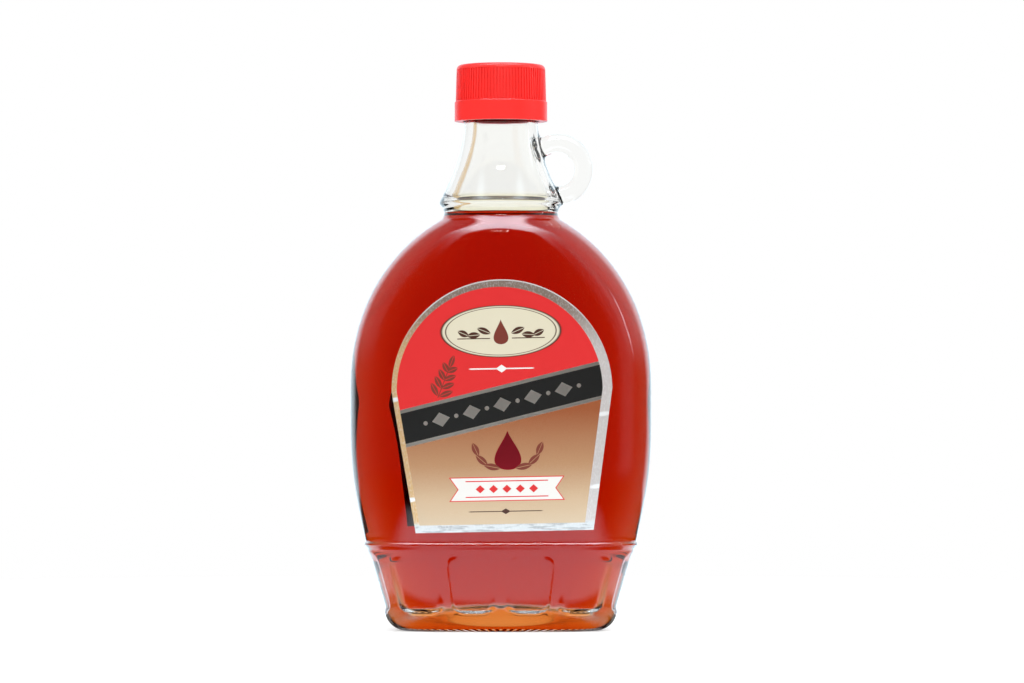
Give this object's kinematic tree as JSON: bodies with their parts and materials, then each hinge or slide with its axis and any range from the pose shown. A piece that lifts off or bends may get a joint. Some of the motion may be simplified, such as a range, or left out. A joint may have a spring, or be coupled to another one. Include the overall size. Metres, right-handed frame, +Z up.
{
  "type": "glass syrup bottle",
  "caption": "Flat oval clear glass bottle of amber syrup with a small ring handle on the neck, a ribbed red screw cap and arched labels.",
  "frame": {"origin": "middle of the base, on the plane that the bottle stands on", "axes": "+Z up through the neck and cap, +X towards the ring handle, -Y out of the front label"},
  "size_m": [0.1006, 0.049, 0.189],
  "materials": {
    "clear_glass": "clear polished",
    "amber_syrup": "clear liquid",
    "red_plastic": "satin",
    "foil_paper": "metallised print"
  },
  "bodies": {
    "root": {"bottle_glass": "clear_glass", "syrup": "amber_syrup", "screw_cap": "red_plastic", "front_label": "foil_paper", "back_label": "foil_paper"}
  },
  "joints": []
}
